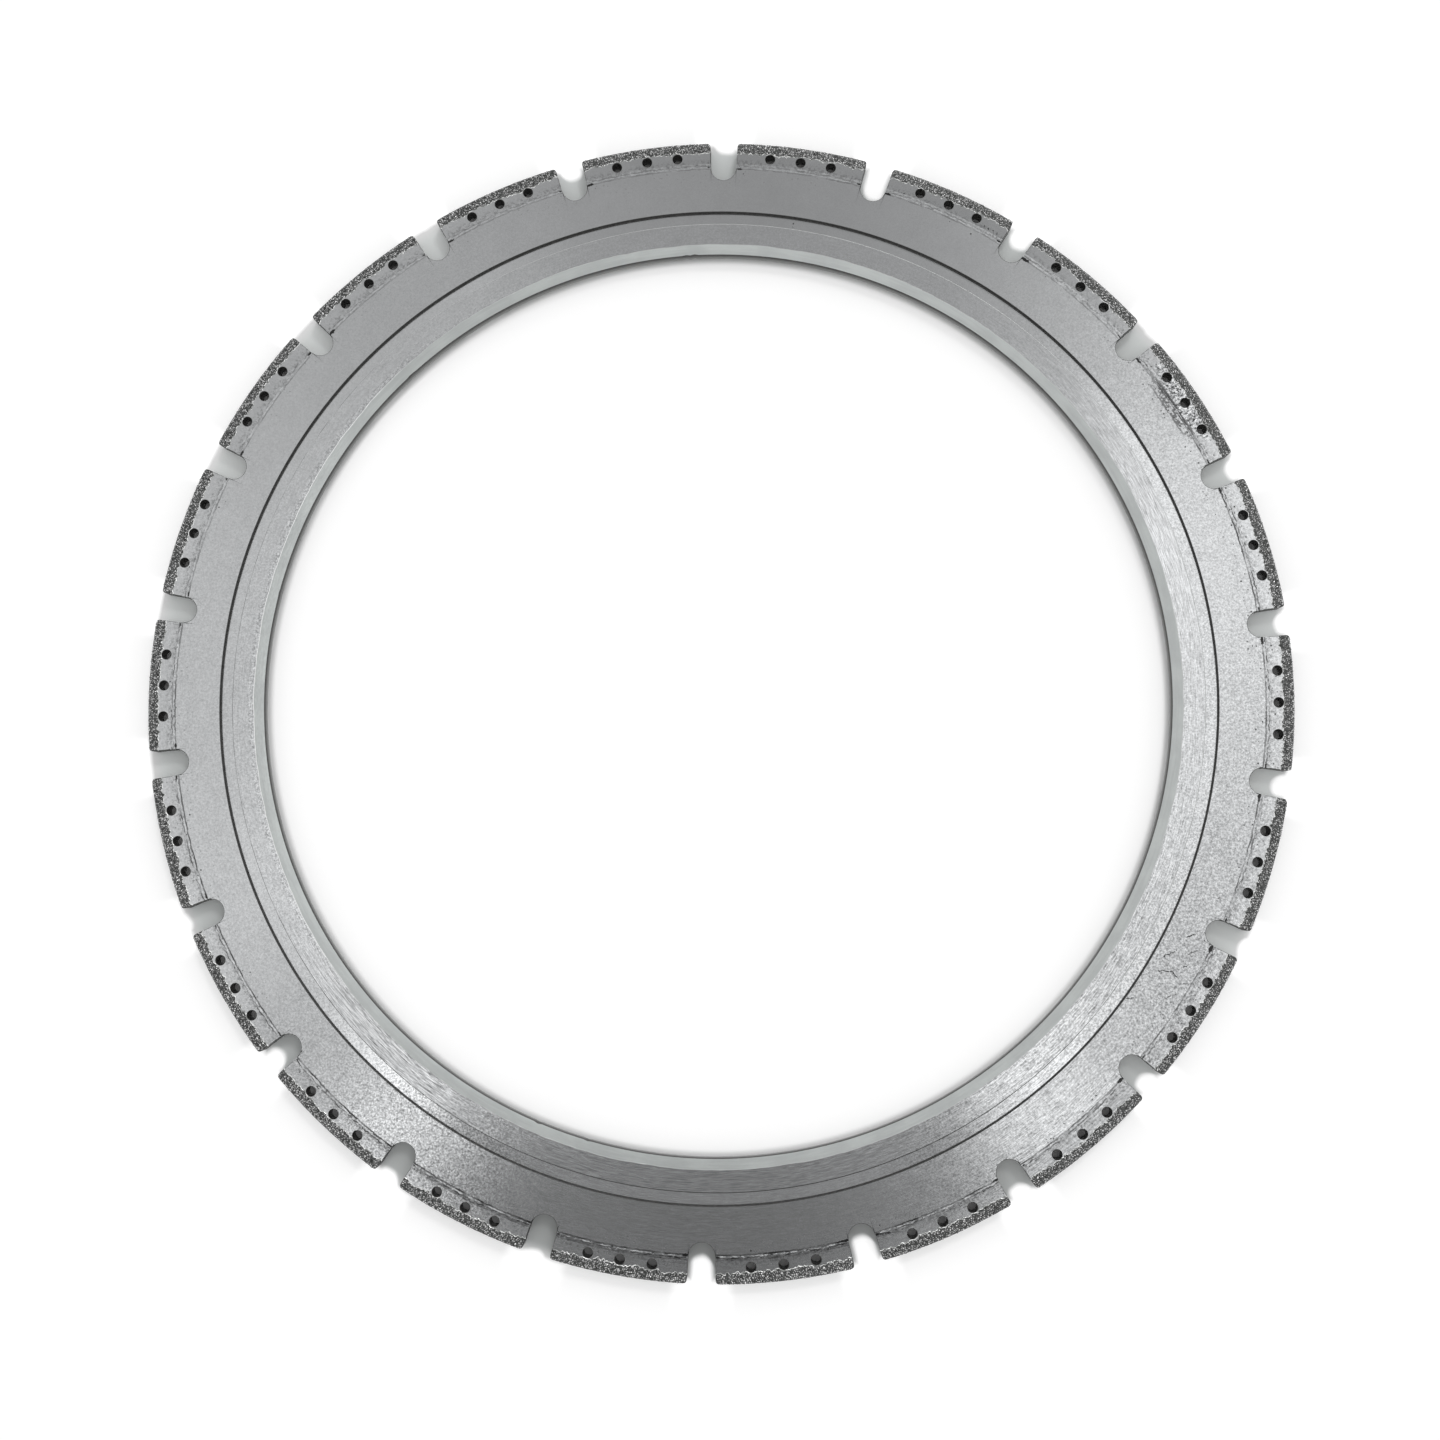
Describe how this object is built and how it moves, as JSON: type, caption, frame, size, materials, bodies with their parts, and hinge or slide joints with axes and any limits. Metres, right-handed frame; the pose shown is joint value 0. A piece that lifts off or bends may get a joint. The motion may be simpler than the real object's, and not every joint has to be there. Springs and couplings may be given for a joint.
{
  "type": "ring saw blade",
  "caption": "Annular steel saw blade with no centre: V drive edge and roller grooves inside, drilled segments with a brazed diamond coat round the rim.",
  "frame": {"origin": "centre of the ring at mid thickness", "axes": "+Z along the ring's axis; +X through the middle of one segment; +Y through a gullet"},
  "size_m": [0.35, 0.3498, 0.0048],
  "materials": {
    "core_steel": "satin, with fine turned lines",
    "segment_steel": "satin, dulled by welding heat",
    "diamond_grit": "coarse brazed grit"
  },
  "bodies": {
    "root": {"blade_core": "core_steel", "segments": "segment_steel", "diamond_coats": "diamond_grit"}
  },
  "joints": []
}
